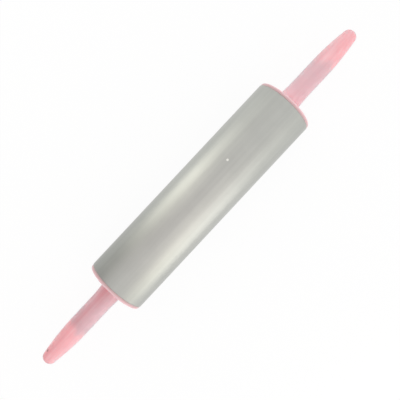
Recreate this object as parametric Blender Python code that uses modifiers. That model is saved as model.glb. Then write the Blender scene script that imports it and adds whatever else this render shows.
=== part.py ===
"""Metal rolling pin with pink handles.

A hollow metal barrel turns on a steel axle that runs right through it. A moulded cap closes each
end of the barrel and holds a plain bush for the axle. Each handle is moulded round a threaded
insert and screwed onto the end of the axle, so the two handles and the axle turn as one.

Metres, +Z up. The axle lies along X, the origin is its middle, and the pin lies on its barrel.
Every turned piece is drawn as an outline of (along, radius) points and swept round its axis.
"""
import math

import bmesh
import bpy
from mathutils import Matrix

# Barrel: the metal tube that rolls the dough
BARREL_DIAMETER = 0.0635
BARREL_LENGTH = 0.2426
BARREL_WALL = 0.0012
BARREL_EDGE = 0.0005

# Clearances: one for pieces that sit still on each other, one for pieces that turn past each other
SEAT_GAP = 0.0003
RUNNING_GAP = 0.0003

# End cap: a flange that shows, a skirt inside the tube, a hub for the bush, and ribs between them
CAP_FLANGE = 0.0034
CAP_RIM_STEP = 0.0004
CAP_RIM_ROUND = 0.0016
CAP_SKIRT_LENGTH = 0.0180
CAP_SKIRT_WALL = 0.0034
CAP_SKIRT_CHAMFER = 0.0008
CAP_HUB_WALL = 0.0032
CAP_HUB_LENGTH = 0.0165
CAP_BOSS_WIDTH = 0.0040
CAP_FACE_RING = 0.0045
CAP_DISH_DEPTH = 0.0008
CAP_RIB_THICKNESS = 0.0018
CAP_RIB_DEPTH = 0.0120
CAP_RIB_COUNT = 6

# Seal: a rubber ring in a groove of the skirt
SEAL_SECTION = 0.0016
SEAL_SIDE_GAP = 0.0004
SEAL_FROM_FLANGE = 0.0070

# Bush: a flanged sleeve pushed into the hub, in which the axle turns
BUSH_WALL = 0.0020
BUSH_FLANGE_WIDTH = 0.0027
BUSH_FLANGE = 0.0015
BUSH_PROUD = 0.0005

# Axle: a plain round rod with a groove for a retaining ring inside each bush
AXLE_DIAMETER = 0.0080
AXLE_IN_HANDLE = 0.0540
AXLE_CHAMFER = 0.0010
RING_GROOVE_DEPTH = 0.0008

# Washers and retaining rings on the axle
THRUST_WASHER_THICKNESS = 0.0010
THRUST_WASHER_WIDTH = 0.0047
INNER_WASHER_THICKNESS = 0.0010
INNER_WASHER_WIDTH = 0.0035
RING_THICKNESS = 0.0010
RING_WIDTH = 0.0026
RING_OPENING = math.radians(56.0)

# Threaded insert, moulded into the handle
INSERT_LENGTH = 0.0140
INSERT_WALL = 0.0017
INSERT_GROOVE_WIDTH = 0.0030
INSERT_GROOVE_DEPTH = 0.0007

# Handle: a short collar, a straight grip, a long taper and a blunt round nose
HANDLE_LENGTH = 0.0995
HANDLE_DIAMETER = 0.0214
HANDLE_MOUTH_CHAMFER = 0.0005
COLLAR_DIAMETER = 0.0226
COLLAR_LENGTH = 0.0055
COLLAR_BLEND = 0.0140
COLLAR_EDGE = 0.0008
TAPER_LENGTH = 0.0420
TAPER_DROP = 0.0034
TAPER_POWER = 1.85
NOSE_LENGTH = 0.0060
NOSE_POWER = 2.6

# Facets round each piece, and points along each curved stretch of an outline
LARGE_STEPS = 48
HANDLE_STEPS = 32
SMALL_STEPS = 24
INSERT_FLATS = 16
SEAL_SIDES = 6
RIM_POINTS = 3
BLEND_POINTS = 3
TAPER_POINTS = 6
NOSE_POINTS = 5
RING_POINTS = 20

MERGE_DISTANCE = 0.00001
SIDES = {"left": -1, "right": 1}

# Places along the axle, measured outwards from the middle of the pin
CAP_SEAT = BARREL_LENGTH / 2 + SEAT_GAP
CAP_FACE = CAP_SEAT + CAP_FLANGE
HUB_END = CAP_SEAT - CAP_HUB_LENGTH
BUSH_END = HUB_END - BUSH_PROUD
INNER_WASHER_FACE = BUSH_END - RUNNING_GAP
RING_FACE = INNER_WASHER_FACE - INNER_WASHER_THICKNESS - SEAT_GAP
THRUST_WASHER_FACE = CAP_FACE + RUNNING_GAP + THRUST_WASHER_THICKNESS
HANDLE_BASE = THRUST_WASHER_FACE + SEAT_GAP
AXLE_END = CAP_FACE + AXLE_IN_HANDLE

# Radii that follow from the sizes above
BARREL_RADIUS = BARREL_DIAMETER / 2
TUBE_INNER_RADIUS = BARREL_RADIUS - BARREL_WALL
SKIRT_RADIUS = TUBE_INNER_RADIUS - SEAT_GAP
AXLE_RADIUS = AXLE_DIAMETER / 2
AXLE_SEAT_RADIUS = AXLE_RADIUS + SEAT_GAP
BUSH_BORE_RADIUS = AXLE_RADIUS + RUNNING_GAP
BUSH_RADIUS = BUSH_BORE_RADIUS + BUSH_WALL
BUSH_FLANGE_RADIUS = BUSH_RADIUS + BUSH_FLANGE_WIDTH
HUB_BORE_RADIUS = BUSH_RADIUS + SEAT_GAP
HUB_RADIUS = HUB_BORE_RADIUS + CAP_HUB_WALL
INSERT_RADIUS = AXLE_SEAT_RADIUS + INSERT_WALL


def clear_scene():
    for old in list(bpy.data.objects):
        bpy.data.objects.remove(old, do_unlink=True)


def collection(name):
    made = bpy.data.collections.new(name)
    bpy.context.scene.collection.children.link(made)
    return made


def material(name, colour, roughness, metallic):
    made = bpy.data.materials.new(name)
    made.use_nodes = True
    shader = made.node_tree.nodes["Principled BSDF"]
    shader.inputs["Base Color"].default_value = (*colour, 1.0)
    shader.inputs["Roughness"].default_value = roughness
    shader.inputs["Metallic"].default_value = metallic
    return made


def add_part(name, mesh, finish, carrier, along=0.0, side=1):
    """Adds a part whose own Z axis points outwards along the axle, at a place on the axle."""
    part = bpy.data.objects.new(name, mesh)
    PARTS.objects.link(part)
    mesh.materials.append(finish)
    part.parent = carrier
    part.location = (side * along, 0, 0)
    part.rotation_euler = (0, side * math.pi / 2, 0)
    return part


def outline_mesh(name, outline, steps, closed):
    """A wire outline half a step round, with the flats of the swept shape on the true radii."""
    half_step = math.pi / steps
    reach = 1 / math.cos(half_step)
    points = []
    for along, radius in outline:
        across = radius * reach
        points.append((across * math.cos(half_step), across * math.sin(half_step), along))
    edges = [(i, i + 1) for i in range(len(points) - 1)]
    if closed:
        edges.append((len(points) - 1, 0))
    mesh = bpy.data.meshes.new(name)
    mesh.from_pydata(points, edges, [])
    return mesh


def sweep(part, steps):
    """Turns a part's outline once round its own Z axis."""
    screw = part.modifiers.new("sweep", "SCREW")
    screw.axis = "Z"
    screw.angle = 2 * math.pi
    screw.steps = steps
    screw.render_steps = steps
    screw.use_merge_vertices = True
    screw.merge_threshold = MERGE_DISTANCE
    screw.use_smooth_shade = True


def turned(name, outline, steps, finish, carrier, along=0.0, side=1, closed=True):
    """A turned part. Its outline runs down the outer side, outboard end first, and back inside."""
    part = add_part(name, outline_mesh(name, outline, steps, closed), finish, carrier, along, side)
    sweep(part, steps)
    return part


def boolean(part, cutter, operation):
    """Joins or cuts with a helper that stays in the cutters' collection."""
    cutter.display_type = "WIRE"
    cutter.hide_render = True
    change = part.modifiers.new(cutter.name, "BOOLEAN")
    change.operation = operation
    change.solver = "EXACT"
    change.object = cutter


def quarter_round(face, rim, size, count):
    """Points between the ends of a quarter circle that rounds a face into a rim."""
    points = []
    for i in range(1, count + 1):
        angle = math.pi / 2 * i / (count + 1)
        points.append((face - size + size * math.cos(angle), rim - size + size * math.sin(angle)))
    return points


def make_barrel(carrier):
    end = BARREL_LENGTH / 2
    outline = [
        (end, BARREL_RADIUS - BARREL_EDGE),
        (end - BARREL_EDGE, BARREL_RADIUS),
        (BARREL_EDGE - end, BARREL_RADIUS),
        (-end, BARREL_RADIUS - BARREL_EDGE),
        (-end, TUBE_INNER_RADIUS),
        (end, TUBE_INNER_RADIUS),
    ]
    turned("barrel_tube", outline, LARGE_STEPS, STEEL_SATIN, carrier)


def cap_outline():
    """The cap's section, from its flange's inner face at zero, outboard positive."""
    rim = BARREL_RADIUS - CAP_RIM_STEP
    counterbore = BUSH_FLANGE_RADIUS + SEAT_GAP
    bush_seat = CAP_FLANGE - BUSH_FLANGE - SEAT_GAP
    boss = counterbore + CAP_BOSS_WIDTH
    ring = rim - CAP_RIM_ROUND - CAP_FACE_RING
    dish = CAP_FLANGE - CAP_DISH_DEPTH
    groove_floor = SKIRT_RADIUS - SEAL_SECTION - SEAT_GAP
    groove_out = -SEAL_FROM_FLANGE + SEAL_SECTION / 2 + SEAL_SIDE_GAP
    groove_in = -SEAL_FROM_FLANGE - SEAL_SECTION / 2 - SEAL_SIDE_GAP
    skirt_inside = SKIRT_RADIUS - CAP_SKIRT_WALL
    return [
        (bush_seat, HUB_BORE_RADIUS),
        (bush_seat, counterbore),
        (CAP_FLANGE, counterbore),
        (CAP_FLANGE, boss),
        (dish, boss + CAP_DISH_DEPTH),
        (dish, ring - CAP_DISH_DEPTH),
        (CAP_FLANGE, ring),
        (CAP_FLANGE, rim - CAP_RIM_ROUND),
        *quarter_round(CAP_FLANGE, rim, CAP_RIM_ROUND, RIM_POINTS),
        (CAP_FLANGE - CAP_RIM_ROUND, rim),
        (0, rim),
        (0, SKIRT_RADIUS),
        (groove_out, SKIRT_RADIUS),
        (groove_out, groove_floor),
        (groove_in, groove_floor),
        (groove_in, SKIRT_RADIUS),
        (CAP_SKIRT_CHAMFER - CAP_SKIRT_LENGTH, SKIRT_RADIUS),
        (-CAP_SKIRT_LENGTH, SKIRT_RADIUS - CAP_SKIRT_CHAMFER),
        (-CAP_SKIRT_LENGTH, skirt_inside),
        (0, skirt_inside),
        (0, HUB_RADIUS),
        (-CAP_HUB_LENGTH, HUB_RADIUS),
        (-CAP_HUB_LENGTH, HUB_BORE_RADIUS),
    ]


def rib_star(name, carrier, side):
    """Ribs from inside the hub's wall to inside the skirt's wall, and a little into the flange."""
    inner = HUB_RADIUS - CAP_HUB_WALL / 2
    outer = SKIRT_RADIUS - CAP_SKIRT_WALL + SEAT_GAP
    top = CAP_RIB_THICKNESS / 2
    length = outer - inner
    height = CAP_RIB_DEPTH + top
    shape = bmesh.new()
    for i in range(CAP_RIB_COUNT):
        place = (
            Matrix.Rotation((i + 1 / 2) * 2 * math.pi / CAP_RIB_COUNT, 4, "Z")
            @ Matrix.Translation((inner + length / 2, 0, top - height / 2))
            @ Matrix.Diagonal((length, CAP_RIB_THICKNESS, height, 1))
        )
        bmesh.ops.create_cube(shape, size=1, matrix=place)
    mesh = bpy.data.meshes.new(name)
    shape.to_mesh(mesh)
    shape.free()
    ribs = bpy.data.objects.new(name, mesh)
    CUTTERS.objects.link(ribs)
    ribs.parent = carrier
    ribs.location = (side * CAP_SEAT, 0, 0)
    ribs.rotation_euler = (0, side * math.pi / 2, 0)
    return ribs


def make_cap(carrier, side_name, side):
    cap = turned("end_cap_" + side_name, cap_outline(), LARGE_STEPS, PINK_CAP, carrier, CAP_SEAT, side)
    boolean(cap, rib_star("cap_ribs_" + side_name, carrier, side), "UNION")


def make_seal(carrier, side_name, side):
    """A rubber ring that stands off the groove's floor and the tube's wall by the same gap."""
    bpy.ops.mesh.primitive_torus_add(
        major_segments=LARGE_STEPS,
        minor_segments=SEAL_SIDES,
        major_radius=SKIRT_RADIUS - SEAL_SECTION / 2,
        minor_radius=SEAL_SECTION / 2,
    )
    torus = bpy.context.object
    mesh = torus.data
    bpy.data.objects.remove(torus)
    mesh.shade_smooth()
    add_part("cap_seal_" + side_name, mesh, RUBBER, carrier, CAP_SEAT - SEAL_FROM_FLANGE, side)


def make_bush(carrier, side_name, side):
    length = CAP_FACE - BUSH_END
    outline = [
        (0, BUSH_FLANGE_RADIUS),
        (-BUSH_FLANGE, BUSH_FLANGE_RADIUS),
        (-BUSH_FLANGE, BUSH_RADIUS),
        (-length, BUSH_RADIUS),
        (-length, BUSH_BORE_RADIUS),
        (0, BUSH_BORE_RADIUS),
    ]
    turned("axle_bush_" + side_name, outline, SMALL_STEPS, NYLON_WHITE, carrier, CAP_FACE, side)


def make_axle(carrier):
    floor = AXLE_RADIUS - RING_GROOVE_DEPTH
    groove_out = RING_FACE + SEAT_GAP
    groove_in = RING_FACE - RING_THICKNESS - SEAT_GAP
    half = [
        (AXLE_END, 0),
        (AXLE_END, AXLE_RADIUS - AXLE_CHAMFER),
        (AXLE_END - AXLE_CHAMFER, AXLE_RADIUS),
        (groove_out, AXLE_RADIUS),
        (groove_out, floor),
        (groove_in, floor),
        (groove_in, AXLE_RADIUS),
    ]
    outline = half + [(-along, radius) for along, radius in reversed(half)]
    turned("axle_rod", outline, SMALL_STEPS, STEEL_PLAIN, carrier, closed=False)


def washer(name, thickness, width, carrier, along, side):
    """A flat washer on the axle, with its outboard face at its own zero."""
    outline = [
        (0, AXLE_SEAT_RADIUS + width),
        (-thickness, AXLE_SEAT_RADIUS + width),
        (-thickness, AXLE_SEAT_RADIUS),
        (0, AXLE_SEAT_RADIUS),
    ]
    turned(name, outline, SMALL_STEPS, STEEL_PLAIN, carrier, along, side)


def make_retaining_ring(carrier, side_name, side):
    """A flat open ring that snaps into the axle's groove."""
    inner = AXLE_RADIUS - RING_GROOVE_DEPTH + SEAT_GAP
    outer = inner + RING_WIDTH
    sweep_angle = 2 * math.pi - RING_OPENING
    angles = [RING_OPENING / 2 + sweep_angle * i / (RING_POINTS - 1) for i in range(RING_POINTS)]
    points = [(outer * math.cos(a), outer * math.sin(a)) for a in angles]
    points += [(inner * math.cos(a), inner * math.sin(a)) for a in reversed(angles)]
    name = "retaining_ring_" + side_name
    curve = bpy.data.curves.new(name, "CURVE")
    curve.dimensions = "2D"
    curve.fill_mode = "BOTH"
    curve.extrude = RING_THICKNESS / 2
    spline = curve.splines.new("POLY")
    spline.points.add(len(points) - 1)
    for spline_point, (x, y) in zip(spline.points, points):
        spline_point.co = (x, y, 0, 1)
    spline.use_cyclic_u = True
    add_part(name, curve, STEEL_SPRING, carrier, RING_FACE - RING_THICKNESS / 2, side)


def make_insert(carrier, side_name, side):
    """A sleeve with flats and a groove that key it into the plastic, flush with the axle's end."""
    middle = -INSERT_LENGTH / 2
    groove_out = middle + INSERT_GROOVE_WIDTH / 2
    groove_in = middle - INSERT_GROOVE_WIDTH / 2
    groove_floor = INSERT_RADIUS - INSERT_GROOVE_DEPTH
    outline = [
        (0, INSERT_RADIUS),
        (groove_out, INSERT_RADIUS),
        (groove_out, groove_floor),
        (groove_in, groove_floor),
        (groove_in, INSERT_RADIUS),
        (-INSERT_LENGTH, INSERT_RADIUS),
        (-INSERT_LENGTH, AXLE_SEAT_RADIUS),
        (0, AXLE_SEAT_RADIUS),
    ]
    turned("handle_insert_" + side_name, outline, INSERT_FLATS, STEEL_PLAIN, carrier, AXLE_END, side)


def tapered(along):
    """The handle's radius from the start of its taper on: a power curve that runs on through the nose."""
    start = HANDLE_LENGTH - NOSE_LENGTH - TAPER_LENGTH
    share = max(along - start, 0) / TAPER_LENGTH
    return HANDLE_DIAMETER / 2 - TAPER_DROP * share**TAPER_POWER


def handle_outline():
    """The handle's section from its base at zero: nose, taper, grip and collar, then its bore."""
    grip = HANDLE_DIAMETER / 2
    collar = COLLAR_DIAMETER / 2
    nose_start = HANDLE_LENGTH - NOSE_LENGTH
    pocket = INSERT_RADIUS + SEAT_GAP
    pocket_end = AXLE_END + SEAT_GAP - HANDLE_BASE
    pocket_start = pocket_end - INSERT_LENGTH - 2 * SEAT_GAP
    outline = [(HANDLE_LENGTH, 0)]
    for i in range(1, NOSE_POINTS + 1):
        angle = math.pi / 2 * i / (NOSE_POINTS + 1)
        along = nose_start + NOSE_LENGTH * math.cos(angle) ** (2 / NOSE_POWER)
        outline.append((along, tapered(along) * math.sin(angle) ** (2 / NOSE_POWER)))
    for i in range(TAPER_POINTS + 1):
        along = nose_start - TAPER_LENGTH * i / TAPER_POINTS
        outline.append((along, tapered(along)))
    for i in range(BLEND_POINTS + 2):
        share = i / (BLEND_POINTS + 1)
        rise = (1 - math.cos(math.pi * share)) / 2
        outline.append((COLLAR_LENGTH + COLLAR_BLEND * (1 - share), grip + (collar - grip) * rise))
    outline += [
        (COLLAR_EDGE, collar),
        (0, collar - COLLAR_EDGE),
        (0, AXLE_SEAT_RADIUS + HANDLE_MOUTH_CHAMFER),
        (HANDLE_MOUTH_CHAMFER, AXLE_SEAT_RADIUS),
        (pocket_start, AXLE_SEAT_RADIUS),
        (pocket_start, pocket),
        (pocket_end, pocket),
        (pocket_end, 0),
    ]
    return outline


def make_handle(carrier, side_name, side):
    name = "handle_" + side_name
    turned(name, handle_outline(), HANDLE_STEPS, PINK_HANDLE, carrier, HANDLE_BASE, side, closed=False)


def carrier_empty(name):
    """An empty on the axle's line, to which the pieces of one moving group are parented."""
    empty = bpy.data.objects.new(name, None)
    PARTS.objects.link(empty)
    return empty


clear_scene()
PARTS = collection("rolling_pin")
CUTTERS = collection("cutters")

STEEL_SATIN = material("satin_barrel_steel", (0.48, 0.48, 0.45), 0.36, 1.0)
STEEL_PLAIN = material("plain_steel", (0.56, 0.56, 0.55), 0.32, 1.0)
STEEL_SPRING = material("spring_steel", (0.16, 0.16, 0.17), 0.40, 1.0)
PINK_CAP = material("pink_cap_plastic", (0.83, 0.43, 0.46), 0.38, 0.0)
PINK_HANDLE = material("pink_handle_plastic", (0.87, 0.45, 0.49), 0.34, 0.0)
NYLON_WHITE = material("white_bush_nylon", (0.80, 0.79, 0.75), 0.45, 0.0)
RUBBER = material("dark_seal_rubber", (0.05, 0.05, 0.05), 0.70, 0.0)

roller = carrier_empty("roller")
spindle = carrier_empty("spindle")

make_barrel(roller)
make_axle(spindle)
for end_name, end_sign in SIDES.items():
    make_cap(roller, end_name, end_sign)
    make_seal(roller, end_name, end_sign)
    make_bush(roller, end_name, end_sign)
    make_handle(spindle, end_name, end_sign)
    make_insert(spindle, end_name, end_sign)
    make_retaining_ring(spindle, end_name, end_sign)
    washer(
        "thrust_washer_" + end_name,
        THRUST_WASHER_THICKNESS,
        THRUST_WASHER_WIDTH,
        spindle,
        THRUST_WASHER_FACE,
        end_sign,
    )
    washer(
        "inner_washer_" + end_name,
        INNER_WASHER_THICKNESS,
        INNER_WASHER_WIDTH,
        spindle,
        INNER_WASHER_FACE,
        end_sign,
    )
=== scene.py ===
"""Metal rolling pin with pink handles: the finished surfaces, the floor, the light and the camera.

Metres, +Z up. The axle lies along X through the origin and the barrel lies on the floor. Every
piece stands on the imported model: its ends and radii are read from that model's boxes. A turned
piece is an outline of (along, radius) corners, rounded, and carried once round the X axis.
"""
import math

import bmesh
import bpy
import numpy as np
from mathutils import Matrix, Vector


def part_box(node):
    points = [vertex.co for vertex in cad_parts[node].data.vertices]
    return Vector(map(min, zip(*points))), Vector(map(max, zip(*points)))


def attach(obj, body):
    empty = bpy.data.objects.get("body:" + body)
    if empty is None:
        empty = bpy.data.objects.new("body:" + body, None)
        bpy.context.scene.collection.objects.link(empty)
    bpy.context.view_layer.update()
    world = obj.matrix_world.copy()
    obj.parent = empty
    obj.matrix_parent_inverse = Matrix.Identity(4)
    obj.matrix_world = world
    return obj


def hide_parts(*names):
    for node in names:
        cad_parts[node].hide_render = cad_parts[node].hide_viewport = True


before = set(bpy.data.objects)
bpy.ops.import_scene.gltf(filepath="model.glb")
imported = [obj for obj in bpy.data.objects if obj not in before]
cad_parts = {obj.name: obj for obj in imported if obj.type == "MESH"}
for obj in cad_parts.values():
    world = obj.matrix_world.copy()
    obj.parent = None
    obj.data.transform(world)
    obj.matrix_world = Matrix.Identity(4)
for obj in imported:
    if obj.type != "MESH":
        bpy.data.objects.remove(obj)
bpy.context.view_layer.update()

MM = 0.001


def node_ends(node):
    """The inboard end, the outboard end and the radius of a node of the right half."""
    low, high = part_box(node)
    return low[0], high[0], high[2]


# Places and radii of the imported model, right half, outboard positive
BARREL_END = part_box("barrel_tube")[1][0]
BARREL_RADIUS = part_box("barrel_tube")[1][2]
CAP_SKIRT_END, CAP_FACE, CAP_RIM_RADIUS = node_ends("end_cap_right")
SEAL_INNER, SEAL_OUTER, SEAL_RADIUS = node_ends("cap_seal_right")
BUSH_END, BUSH_FACE, BUSH_FLANGE_RADIUS = node_ends("axle_bush_right")
THRUST_WASHER_ENDS = node_ends("thrust_washer_right")
INNER_WASHER_ENDS = node_ends("inner_washer_right")
RING_INNER, RING_OUTER = node_ends("retaining_ring_right")[:2]
INSERT_INNER, INSERT_OUTER, INSERT_RADIUS = node_ends("handle_insert_right")
HANDLE_BASE, HANDLE_TIP, COLLAR_RADIUS = node_ends("handle_right")
AXLE_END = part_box("axle_rod")[1][0]
AXLE_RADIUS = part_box("axle_rod")[1][2]

# Sizes inside the pieces, as the solids have them
SEAT_GAP = 0.3 * MM
BARREL_WALL = 1.2 * MM
CAP_RIM_ROUND = 1.6 * MM
CAP_SKIRT_WALL = 3.4 * MM
CAP_HUB_WALL = 3.2 * MM
CAP_HUB_LENGTH = 16.5 * MM
CAP_BOSS_WIDTH = 4.0 * MM
CAP_FACE_RING = 4.5 * MM
CAP_DISH_DEPTH = 0.8 * MM
CAP_RIB_THICKNESS = 1.8 * MM
CAP_RIB_DEPTH = 12.0 * MM
CAP_RIB_COUNT = 6
SEAL_SIDE_GAP = 0.4 * MM
BUSH_WALL = 2.0 * MM
BUSH_FLANGE = 1.5 * MM
RING_GROOVE_DEPTH = 0.8 * MM
RING_WIDTH = 2.6 * MM
RING_OPENING = math.radians(56.0)
INSERT_GROOVE_WIDTH = 3.0 * MM
INSERT_GROOVE_DEPTH = 0.7 * MM
HANDLE_RADIUS = 10.7 * MM
COLLAR_LENGTH = 5.5 * MM
COLLAR_BLEND = 14.0 * MM
TAPER_LENGTH = 42.0 * MM
TAPER_DROP = 3.4 * MM
TAPER_POWER = 1.85
NOSE_LENGTH = 6.0 * MM
NOSE_POWER = 2.6

# Sizes in which these surfaces differ from the solids: there the gap under the cap's lip is as wide
# as SEAT_GAP, the tube's outer edge is a chamfer of 0.5 mm, and the others are sharp or chamfers
LIP_GAP = 0.12 * MM
BARREL_EDGE = 0.3 * MM
SMALL_EDGE = 0.12 * MM
SOFT_EDGE = 0.35 * MM
ROUND_EDGE = 2 * SOFT_EDGE
AXLE_EDGE = 3 * SOFT_EDGE

# Sizes that follow from those of the solids
BARREL_BORE = BARREL_RADIUS - BARREL_WALL
AXLE_BORE = AXLE_RADIUS + SEAT_GAP
AXLE_GROOVE_RADIUS = AXLE_RADIUS - RING_GROOVE_DEPTH
BUSH_RADIUS = AXLE_BORE + BUSH_WALL
CAP_BORE = BUSH_RADIUS + SEAT_GAP
CAP_SEAT = BARREL_END + SEAT_GAP
CAP_SKIRT_RADIUS = BARREL_BORE - SEAT_GAP
POCKET_RADIUS = INSERT_RADIUS + SEAT_GAP
NOSE_START = HANDLE_TIP - NOSE_LENGTH
TAPER_START = NOSE_START - TAPER_LENGTH

# Sizes that only the finished surfaces have
THREAD_PITCH = 1.25 * MM
THREAD_DEPTH = 0.35 * MM
THREAD_START = AXLE_END - (INSERT_OUTER - INSERT_INNER) - 2 * THREAD_PITCH
KNURL_COUNT = 20
KNURL_DEPTH = 0.3 * MM
SEAM_ANGLE = math.radians(38.0)
SEAM_HEIGHT = 0.07 * MM
SEAM_WIDTH = 0.25 * MM

# How finely the surfaces are cut
WELD_DISTANCE = 0.0001 * MM
ARC_STEPS = 6
BARREL_SEGMENTS = 256
BARREL_STEP = 6.0 * MM
CAP_SEGMENTS = 192
SEAL_SEGMENTS = 128
SEAL_SIDES = 24
SMALL_SEGMENTS = 96
AXLE_SEGMENTS = 48
THREAD_STEP = THREAD_PITCH / 8
INSERT_SEGMENTS = 192
KNURL_STEP = 0.25 * MM
RING_SECTIONS = 72
RIB_SECTIONS = 8
HANDLE_SEGMENTS = 160
NOSE_STEPS = 32
TAPER_STEPS = 30
GRIP_STEPS = 24
COLLAR_STEPS = 12

# A rounding takes at most this share of a side, and its guard point lies this much further out
ROUNDING_SHARE = 0.45
GUARD_SHARE = 0.1

# Where the photograph shows the pin, in its own pixels, and the camera fitted to its outline
FRAME_PX = 400
PIN_MIDDLE_PX = (200.24, 195.98)
PIN_ANGLE = math.radians(46.95)
FOCAL_PX = 486.0
CAMERA_DISTANCE = 488.0 * MM
CAMERA_LEAN = math.radians(0.6)
SENSOR_WIDTH = 36.0
CLIP_START = 10.0 * MM


def set_camera():
    """Looks straight down on the pin but for a slight lean, turned so that its axle rises to the
    upper right, and moved so that its middle lies where the photograph has it."""
    pixel = CAMERA_DISTANCE / FOCAL_PX
    turn = Matrix.Rotation(-CAMERA_LEAN, 3, "Y") @ Matrix.Rotation(-PIN_ANGLE, 3, "Z")
    right, up, back = (turn @ Vector(axis) for axis in ((1, 0, 0), (0, 1, 0), (0, 0, 1)))
    across = (PIN_MIDDLE_PX[0] - FRAME_PX / 2) * pixel
    above = (FRAME_PX / 2 - PIN_MIDDLE_PX[1]) * pixel
    data = bpy.data.cameras.new("camera")
    data.sensor_width = SENSOR_WIDTH
    data.lens = SENSOR_WIDTH * FOCAL_PX / FRAME_PX
    data.clip_start = CLIP_START
    camera = bpy.data.objects.new("camera", data)
    bpy.context.scene.collection.objects.link(camera)
    stand = back * CAMERA_DISTANCE - right * across - up * above
    camera.matrix_world = Matrix.Translation(stand) @ turn.to_4x4()
    bpy.context.scene.camera = camera


# Shapes: each shell is its points, its faces and a texture point for each face corner

def rounded(corners, closed=True):
    """Outline points from (along, radius, rounding) corners. Each corner with a rounding becomes an
    arc tangent to both its sides, with one more point just before and just after the arc."""
    places = [np.array(corner[:2], float) for corner in corners]
    outline = []
    for i, (_, _, size) in enumerate(corners):
        here = places[i]
        if size == 0 or (not closed and i in (0, len(corners) - 1)):
            outline.append(here)
            continue
        before = places[i - 1] - here
        after = places[(i + 1) % len(corners)] - here
        longest = ROUNDING_SHARE * min(np.linalg.norm(before), np.linalg.norm(after))
        before, after = before / np.linalg.norm(before), after / np.linalg.norm(after)
        half_opening = math.acos(float(before @ after)) / 2
        setback = min(size / math.tan(half_opening), longest)
        radius = setback * math.tan(half_opening)
        middle = (before + after) / np.linalg.norm(before + after)
        centre = here + middle * radius / math.sin(half_opening)
        first, last = here + before * setback - centre, here + after * setback - centre
        swing = math.pi - 2 * half_opening
        shares = np.arange(ARC_STEPS + 1)[:, None] / ARC_STEPS
        sweep = first * np.sin((1 - shares) * swing) + last * np.sin(shares * swing)
        arc = centre + sweep / math.sin(swing)
        guard = (1 + GUARD_SHARE) * setback
        outline += [here + before * guard, *arc, here + after * guard]
    return np.array(outline)


def split(outline, step, closed=True, beyond=0.0):
    """The same outline with its straight stretches cut into lengths of at most one step, except
    those that come nearer to the middle of the pin than beyond."""
    starts, ends = (outline, np.roll(outline, -1, axis=0)) if closed else (outline[:-1], outline[1:])
    stretches = []
    for start, end in zip(starts, ends):
        further = min(abs(start[0]), abs(end[0])) >= beyond
        parts = max(1, math.ceil(np.linalg.norm(end - start) / step)) if further else 1
        stretches.append(start + (end - start) * np.arange(parts)[:, None] / parts)
    if not closed:
        stretches.append(outline[-1:])
    return np.concatenate(stretches)


def turned(outline, segments, side=1, closed=True, relief=None):
    """Carries an outline once round the X axis: point (i, j) is at along i, and at radius i times
    the cosine and the sine of angle j. relief gives a height to add to the radius from the along
    places, the angles and the radii. An open outline starts and ends on the axis."""
    angles = 2 * math.pi * np.arange(segments) / segments
    along = np.repeat(outline[:, :1], segments, axis=1)
    radius = np.repeat(outline[:, 1:], segments, axis=1)
    if relief is not None:
        radius = radius + relief(along, angles[None, :], radius)
    points = np.stack([side * along, radius * np.cos(angles), radius * np.sin(angles)], axis=2)
    rows = len(outline)
    first = np.arange(rows if closed else rows - 1)[:, None] * segments
    second = (first + segments) % (rows * segments)
    column = np.arange(segments)
    following = (column + 1) % segments
    faces = np.stack([first + column, second + column, second + following, first + following], axis=2)
    steps = np.linalg.norm(np.roll(outline, -1, axis=0) - outline, axis=1)[: len(first)]
    travel = np.concatenate([[0], np.cumsum(steps)])
    low, high = travel[:-1, None], travel[1:, None]
    here, there = column / segments, (column + 1) / segments
    here, there, low, high = np.broadcast_arrays(here, there, low, high)
    across = np.stack([here, here, there, there], axis=2)
    lengthwise = np.stack([low, high, high, low], axis=2)
    texture = np.stack([across, lengthwise], axis=3)
    if side < 0:
        faces, texture = faces[:, :, ::-1], texture[:, :, ::-1]
    return points.reshape(-1, 3), faces.reshape(-1, 4).tolist(), texture.reshape(-1, 2)


def carried(rings, side=1):
    """Joins closed sections of equal point counts, one after another along a path, into a bar:
    face (i, k) spans points k and k + 1 of sections i and i + 1, and a flat face closes each end."""
    rows, count = rings.shape[:2]
    first = np.arange(rows - 1)[:, None] * count
    second = first + count
    point = np.arange(count)
    following = (point + 1) % count
    around = np.stack([first + point, second + point, second + following, first + following], axis=2)
    end_faces = [point.tolist(), (point[::-1] + (rows - 1) * count).tolist()]
    faces = around.reshape(-1, 4).tolist() + end_faces
    points = rings.reshape(-1, 3) * (side, 1, 1)
    if side < 0:
        faces = [face[::-1] for face in faces]
    return points, faces, np.concatenate([points[face][:, :2] for face in faces])


def make_piece(name, shells, finish, body, slot, *nodes):
    """One object at the origin from shells, smooth, with its poles welded, that rides on a body."""
    starts = np.cumsum([0] + [len(shell[0]) for shell in shells])
    faces = [[start + k for k in face] for start, shell in zip(starts, shells) for face in shell[1]]
    mesh = bpy.data.meshes.new(name)
    mesh.from_pydata(np.concatenate([shell[0] for shell in shells]).tolist(), [], faces)
    layer = mesh.uv_layers.new(name="surface")
    layer.data.foreach_set("uv", np.concatenate([shell[2] for shell in shells]).ravel())
    mesh.polygons.foreach_set("use_smooth", np.ones(len(faces), bool))
    weld = bmesh.new()
    weld.from_mesh(mesh)
    bmesh.ops.remove_doubles(weld, verts=weld.verts, dist=WELD_DISTANCE)
    weld.to_mesh(mesh)
    weld.free()
    mesh.materials.append(finish)
    piece = bpy.data.objects.new(name, mesh)
    bpy.context.scene.collection.objects.link(piece)
    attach(piece, body)
    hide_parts(*nodes)


# Node helpers

# How many finer layers a noise has over its first one
PLAIN_DETAIL = 2.0
FINE_DETAIL = 3.0


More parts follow.
